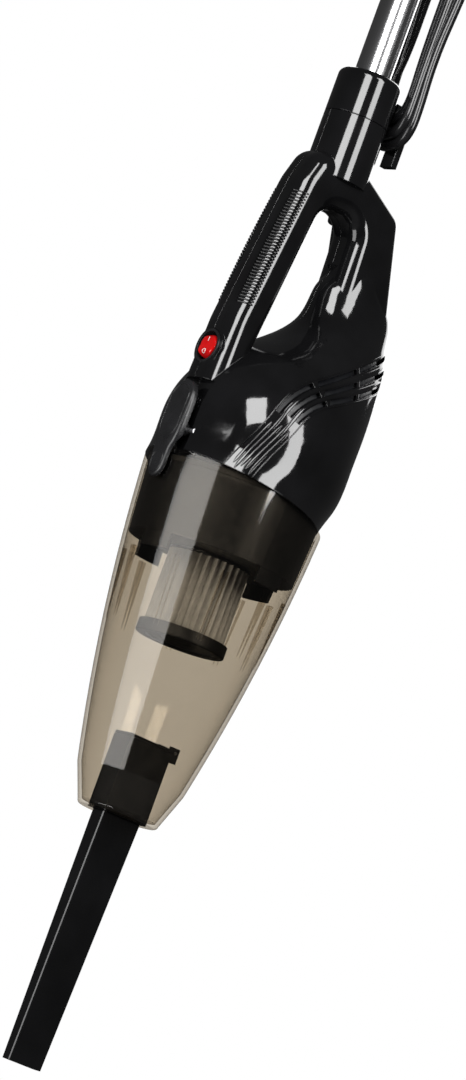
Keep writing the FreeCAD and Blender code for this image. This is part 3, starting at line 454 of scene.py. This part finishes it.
def add_pleats():
    """Thirty soft folds of filter paper round the core, each a little different."""
    low, high, bore = 113.3, 157.2, 15.8
    count, steps = 30, 8
    rings = []
    for row in range(7):
        level = low + (high - low) * row / 6
        loop = []
        for i in range(count * steps):
            turn = i / steps
            wobble = 0.25 * math.sin(7.3 * int(turn) + row * 0.9)
            wave = abs(2 * (turn % 1) - 1)
            soft = wave * wave * (3 - 2 * wave)
            radius = 20.6 + 3.8 * (0.35 * soft + 0.65 * wave)
            angle = 2 * math.pi * turn / count + math.radians(wobble)
            loop.append(machine(radius * math.cos(angle), radius * math.sin(angle), level))
        rings.append(loop)
    angles = [2 * math.pi * i / (count * steps) for i in range(count * steps)]
    for level in (high, low):
        rings.append([machine(bore * math.cos(angle), bore * math.sin(angle), level) for angle in angles])
    rings.append(rings[0])
    verts, faces = skin(rings, False)
    piece = mesh_piece("pleated_paper", verts, faces, "filter_paper", "cartridge")
    weld(piece)
    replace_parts(sharpen(piece, 50), "filter_pleats")


# ---------- latch ----------

LATCH_FOOT, LATCH_HIGH, LATCH_PIN_BACK, LATCH_PIN_LEVEL = 188, 60, -52.6, 219
# Half widths of the lever at its levels, from the top of the thumb pad to the tip of the tongue.
LATCH_LEVELS = ((248, 0.0), (247.6, 3.6), (246.4, 6.3), (244, 8.8), (240.5, 10.6), (236, 11.4), (230, 11.5),
                (222, 11.4), (215, 11.0), (210.5, 9.9), (207.5, 8.4), (205, 7.7), (200, 7.4), (195.5, 7.2),
                (192.2, 6.2), (189.8, 4.4), (188.4, 2.2), (188, 0.0))


def latch_front(level):
    """How far forward the face of the lever lies at a height."""
    share = (level - LATCH_FOOT) / LATCH_HIGH
    return -59.2 - 0.4 * math.sin(math.pi * share) + 0.9 * max(0, share - 0.75) * 4


def latch_back(level):
    """How far back the lever reaches at a height: the tongue is thin, and the pad is deep."""
    if level < 211:
        return -57.4
    return -55.2 + 0.2 * min(1, (level - 211) / 20)


def add_latch():
    """The cup's release lever: an oval thumb pad above a tongue that holds the cup's rim."""
    rings = []
    for level, half in LATCH_LEVELS:
        half = max(half, 0.05)
        front, back = latch_front(level), latch_back(level)
        edge = min(1.3, half * 0.45)
        loop = [(-half, back), (-half, front + 2 * edge), (-half + 0.12 * edge, front + edge),
                (-half + 0.5 * edge, front + 0.35 * edge), (-half + 1.3 * edge, front),
                (0, front - 0.04 * half), (half - 1.3 * edge, front),
                (half - 0.5 * edge, front + 0.35 * edge), (half - 0.12 * edge, front + edge),
                (half, front + 2 * edge), (half, back), (0, back)]
        rings.append([machine(x, y, level) for x, y in loop])
    verts, faces = skin(rings)
    piece = mesh_piece("latch_thumb_lever", verts, faces, "satin_black", "latch")
    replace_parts(sharpen(piece, 50), "latch_lever")
    for name, middle, half, straight, radius in (("latch_pad_ring", 228.5, 8.3, 8.2, 0.42),
                                                 ("latch_tongue_ring", 197.2, 5.0, 1.6, 0.32)):
        points = []
        for i in range(48):
            angle = 2 * math.pi * i / 48
            level = middle + half * math.sin(angle) + straight * (1 if math.sin(angle) >= 0 else -1)
            points.append(machine(half * math.cos(angle), latch_front(level) - 0.02, level))
        line_piece(name, points, radius * MM, "satin_black", "latch", True)
    barrel = [machine(x, LATCH_PIN_BACK, LATCH_PIN_LEVEL) for x in (-11, -4, 4, 11)]
    line_piece("latch_pivot_barrel", barrel, 2.2 * MM, "satin_black", "latch")
    for side, word in ((-1, "left"), (1, "right")):
        verts, faces = block((side * 9.4 - 0.9, -56, 215.6), (side * 9.4 + 0.9, -52.4, 222.4), 0.3)
        mesh_piece(f"latch_ear_{word}", verts, faces, "satin_black", "latch", False)


def block(low, high, bevel):
    """A box between two corners, with its edges cut."""
    shape = bmesh.new()
    bmesh.ops.create_cube(shape, size=1)
    for vert in shape.verts:
        vert.co = Vector([a + (b - a) * (c + 0.5) for a, b, c in zip(low, high, vert.co)])
    bmesh.ops.bevel(shape, geom=shape.edges[:], offset=bevel, segments=2, affect="EDGES")
    verts = [machine(*vert.co) for vert in shape.verts]
    faces = [tuple(vert.index for vert in face.verts) for face in shape.faces]
    shape.free()
    return verts, faces


# ---------- switch ----------

SWITCH_LEVEL, SWITCH_PIVOT, SWITCH_REACH, SWITCH_SWING = 271, -47, 7.4, 8.6


def rocker_face(level):
    """Depth of the rocker's face: two flats that meet in a shallow valley, the lower one standing proud."""
    up = level - SWITCH_LEVEL
    face = -53.7 - (0.05 * up if up > 0 else -0.26 * up)
    swing = math.sqrt(max(0, SWITCH_SWING ** 2 - up ** 2))
    return max(face, SWITCH_PIVOT - swing)


def add_rocker():
    """The switch's red rocker, with its marks for off and on."""
    rings = []
    shares = (1, 0.985, 0.93, 0.84, 0.6, 0.3, 0.02)
    drops = (1.1, 0.45, 0.12, 0, 0, 0, 0)
    count = 48
    angles = [2 * math.pi * i / count for i in range(count)]
    rings.append([machine(SWITCH_REACH * math.cos(angle), SWITCH_PIVOT,
                          SWITCH_LEVEL + SWITCH_REACH * math.sin(angle)) for angle in angles])
    for share, drop in zip(shares, drops):
        loop = []
        for angle in angles:
            x, up = SWITCH_REACH * share * math.cos(angle), SWITCH_REACH * share * math.sin(angle)
            loop.append(machine(x, rocker_face(SWITCH_LEVEL + up) + drop, SWITCH_LEVEL + up))
        rings.append(loop)
    verts, faces = skin(rings)
    piece = mesh_piece("rocker_button", verts, faces, "red_gloss", "rocker")
    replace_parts(sharpen(piece, 40), "switch_rocker")
    circle = []
    for i in range(24):
        angle = 2 * math.pi * i / 24
        level = SWITCH_LEVEL - 3.7 + 1.35 * math.sin(angle)
        circle.append(machine(1.35 * math.cos(angle), rocker_face(level), level))
    off = line_piece("rocker_off_mark", circle, 0.2 * MM, "red_gloss", "rocker", True)
    bar = [machine(0, rocker_face(level), level) for level in (SWITCH_LEVEL + 2.6, SWITCH_LEVEL + 5.2)]
    on = line_piece("rocker_on_mark", bar, 0.2 * MM, "red_gloss", "rocker")
    for mark in (off, on):
        mark.data.materials.clear()
        mark.data.materials.append(MARK_WHITE)


# ---------- relief on the housing ----------

def surface_of(name):
    """A CAD node's surface, for finding places on it."""
    mesh = NODES[name].data
    return BVHTree.FromPolygons([v.co for v in mesh.vertices], [p.vertices for p in mesh.polygons])


SIDES = {1: surface_of("housing_right"), -1: surface_of("housing_left")}
STRIP_SINK = 0.5


def on_side(side, y, z):
    """Where the housing's side lies at a depth and height, with its outward normal."""
    start = machine(side * 120, y, z)
    place, normal, _, _ = SIDES[side].ray_cast(start, Vector((-side, 0, 0)))
    if place is None:
        return None
    return place, normal if normal.x * side > 0 else -normal


def strip(name, side, path, half, proud):
    """A crowned band along a path of depths and heights, lying on the housing's side."""
    hits = [hit for hit in (on_side(side, y, z) for y, z in path) if hit]
    normals = []
    for i in range(len(hits)):
        near = hits[max(0, i - 2):i + 3]
        normals.append(sum((hit[1] for hit in near), Vector()).normalized())
    rings = []
    for i, (place, _) in enumerate(hits):
        ahead = hits[min(i + 1, len(hits) - 1)][0] - hits[max(i - 1, 0)][0]
        across = normals[i].cross(ahead).normalized()
        end = min(1, 0.35 + 0.65 * min(i, len(hits) - 1 - i))
        profile = ((-1, -STRIP_SINK), (-1, proud * 0.3), (-0.8, proud * 0.85), (-0.4, proud),
                   (0, proud * 1.05), (0.4, proud), (0.8, proud * 0.85), (1, proud * 0.3), (1, -STRIP_SINK))
        rings.append([place + across * (w * half * MM * end) + normals[i] * (h * MM) for w, h in profile])
    verts, faces = skin(rings)
    sharpen(mesh_piece(name, verts, faces, "gloss_black"), 60)


VENT_BACK, VENT_LEVEL = 23.1, 226.7
VENT_ROWS = ((50.5, 160, 33), (44.9, 157, 31), (39.5, 156.5, 28.5))
SEAM_LEVEL, SEAM_SLOPE = 199.7, math.tan(math.radians(8.8))
FOOT_LEAST, FOOT_MOST = 14, 80


def vent_foot(radius, start):
    """Points from near the seam straight up to the start of a vent row's arc."""
    angle = math.radians(start)
    y, z = VENT_BACK + radius * math.cos(angle), VENT_LEVEL + radius * math.sin(angle)
    ahead = (math.sin(angle), -math.cos(angle))
    length = FOOT_LEAST
    while z - ahead[1] * length >= SEAM_LEVEL - (y - ahead[0] * length) * SEAM_SLOPE and length <= FOOT_MOST:
        length += 2
    points = []
    for i in range(12):
        reach = length * (1 - i / 12)
        points.append((y - ahead[0] * reach, z - ahead[1] * reach))
    return points


def vent_line(radius, start, slope, far):
    """Points of a line along a vent row, up its arc and back along its straight part."""
    points = []
    for i in range(17):
        angle = math.radians(start + (90 + slope - start) * i / 16)
        points.append((VENT_BACK + radius * math.cos(angle), VENT_LEVEL + radius * math.sin(angle)))
    y, z = points[-1]
    lean = math.radians(slope)
    reach = 3
    while y + reach * math.cos(lean) < far:
        points.append((y + reach * math.cos(lean), z + reach * math.sin(lean)))
        reach += 3
    return points


def whole_line(row, far):
    """A vent row's line from near the seam to a depth."""
    return vent_foot(*row[:2]) + vent_line(*row, far)


def add_vent_relief():
    """Bands between and round the vent slots, which run on down to the seam as fine steps."""
    first, second, third = VENT_ROWS
    between_rows = [[(a + b) / 2 for a, b in zip(*pair)] for pair in ((first, second), (second, third))]
    top = (first[0] + 2.6, first[1], first[2])
    low = (third[0] - 2.4, third[1], third[2])
    for side, word in ((1, "right"), (-1, "left")):
        for number, row in enumerate(between_rows, 1):
            strip(f"vent_band_{number}_{word}", side, whole_line(row, 56), 1.15, 0.5)
        strip(f"vent_brow_{word}", side, whole_line(top, 54), 0.45, 0.4)
        strip(f"vent_sill_{word}", side, whole_line(low, 54), 0.45, 0.35)
        for number, (radius, start, _) in enumerate(VENT_ROWS, 1):
            strip(f"vent_step_{number}_{word}", side, vent_foot(radius, start)[:11], 1.0, 0.28)


def add_vent_shade_backing():
    """Dark sheets just inside the slots, with the slots' width and a little more: painted shade, so that the
    slots read dark inside.
    """
    front, rear, widest = 3.1 * MM, 3.9 * MM, 9 * MM
    for side, word in ((1, "right"), (-1, "left")):
        for number, (radius, start, slope) in enumerate(VENT_ROWS, 1):
            bands = []
            for offset in (-2.842, 2.842):
                line = vent_line(radius + offset, start, slope, 55)
                bands.append([on_side(side, y, z) for y, z in line])
            loops = []
            for low, high in zip(*bands):
                if not (low and high):
                    continue
                loop = [place - normal * front for place, normal in (low, high)]
                loop += [place - normal * rear for place, normal in (high, low)]
                if (loop[0] - loop[1]).length < widest:
                    loops.append(loop)
            verts, faces = skin(loops)
            # Each sheet is painted shade: a dark backing put where the inside of the slot is only in shade.
            mesh_piece(f"vent_shade_backing_{number}_{word}", verts, faces, "inner_black", smooth=False)


# Depth and level of the grip's front edge near its foot and its head, and the radius of its corners.
GRIP_FOOT, GRIP_HEAD, GRIP_CORNER = (-52.8, 290), (-40.2, 383), 10.5


def add_grip_ribs():
    """Fine ribs over both front corners of the grip."""
    count = 38
    for side, word in ((1, "right"), (-1, "left")):
        ribs = []
        for i in range(count):
            level = 302 + 2 * i
            share = (level - GRIP_FOOT[1]) / (GRIP_HEAD[1] - GRIP_FOOT[1])
            front = GRIP_FOOT[0] + share * (GRIP_HEAD[0] - GRIP_FOOT[0]) - 1.1 * math.sin(math.pi * share)
            loops = []
            for step in range(9):
                angle = math.radians(-72 + 60 * step / 8)
                out = Vector((side * math.cos(angle), math.sin(angle), -0.12)).normalized()
                middle = Vector((side * 4.5, front + GRIP_CORNER, level))
                end = min(1, 0.3 + 0.35 * min(step, 8 - step))
                loop = []
                for rise, lift in ((-0.62, -0.6), (-0.45, 0.22), (0, 0.42), (0.45, 0.22), (0.62, -0.6)):
                    point = middle + out * (GRIP_CORNER + lift * end) + Vector((0, 0, rise))
                    loop.append(machine(*point))
                loops.append(loop)
            ribs.append(skin(loops))
        verts, faces = gather(ribs)
        mesh_piece(f"grip_ribs_{word}", verts, faces, "gloss_black")


# ---------- ribs inside the cup ----------

CUP_RIB_ANGLES = (-168, -132, -100, -58, -24, 12, 50, 84, 112, 150)


def cup_inner(level):
    """Inner radius of the cup's wall at a height, a little inside the wall's face."""
    low, middle, high = (23, 30.2), (116, 46.3), (215, 54.9)
    if level < middle[0]:
        share = (level - low[0]) / (middle[0] - low[0])
        return low[1] + (middle[1] - low[1]) * share + 1.6 * math.sin(math.pi * share)
    share = (level - middle[0]) / (high[0] - middle[0])
    return middle[1] + (high[1] - middle[1]) * share + 0.9 * math.sin(math.pi * share)


def add_cup_ribs():
    """Pairs of thin ribs on the cup's inner wall, which fade out downwards."""
    ribs = []
    for angle in CUP_RIB_ANGLES:
        for offset in (0, 3.4):
            turn = math.radians(angle + offset)
            out = Vector((math.cos(turn), math.sin(turn), 0))
            along = Vector((-math.sin(turn), math.cos(turn), 0))
            loops = []
            for row in range(9):
                level = 148.5 - 42 * row / 8
                deep = 2.6 * (1 - row / 8) ** 0.8 + 0.05
                wall = cup_inner(level) + 0.35
                thick = 0.55 - 0.3 * row / 8
                loop = [out * wall + along * thick, out * wall - along * thick,
                        out * (wall - deep) - along * thick * 0.6, out * (wall - deep) + along * thick * 0.6]
                loops.append([machine(p.x, p.y, level) for p in loop])
            ribs.append(skin(loops))
    verts, faces = gather(ribs)
    mesh_piece("cup_inner_ribs", verts, faces, "smoke_clear", "cup", False)


# ---------- strain relief ----------

def add_strain_relief():
    """A ribbed rubber sleeve, from inside the housing to where the cord leaves it."""
    foot, tip = Vector((-13.4, 22.4, -654)), Vector(LEAD[0])
    foot_radius, tip_radius, ridges = 6.4, 4.4, 7
    axis = (tip - foot).normalized()
    length = (tip - foot).length
    side = axis.cross(Vector((0, 1, 0))).normalized()
    other = axis.cross(side)
    rings = []
    for row in range(61):
        share = row / 60
        radius = foot_radius + (tip_radius - foot_radius) * share
        if 0.2 < share < 0.97:
            radius -= 0.55 * (0.5 + 0.5 * math.cos(2 * math.pi * ridges * share))
        radius -= 1.2 * max(0, share - 0.96) / 0.04
        centre = foot + axis * length * share
        rings.append([(centre + (side * math.cos(a) + other * math.sin(a)) * radius) * MM
                      for a in (2 * math.pi * i / 28 for i in range(28))])
    verts, faces = skin(rings)
    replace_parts(sharpen(mesh_piece("cord_strain_relief", verts, faces, "seal_rubber"), 50), "cord_gland")


add_camera()
surroundings()
add_cord()
add_pleats()
add_latch()
add_rocker()
add_vent_relief()
# The dark sheets inside the vent slots are painted shade.
add_vent_shade_backing()
add_grip_ribs()
add_cup_ribs()
add_strain_relief()
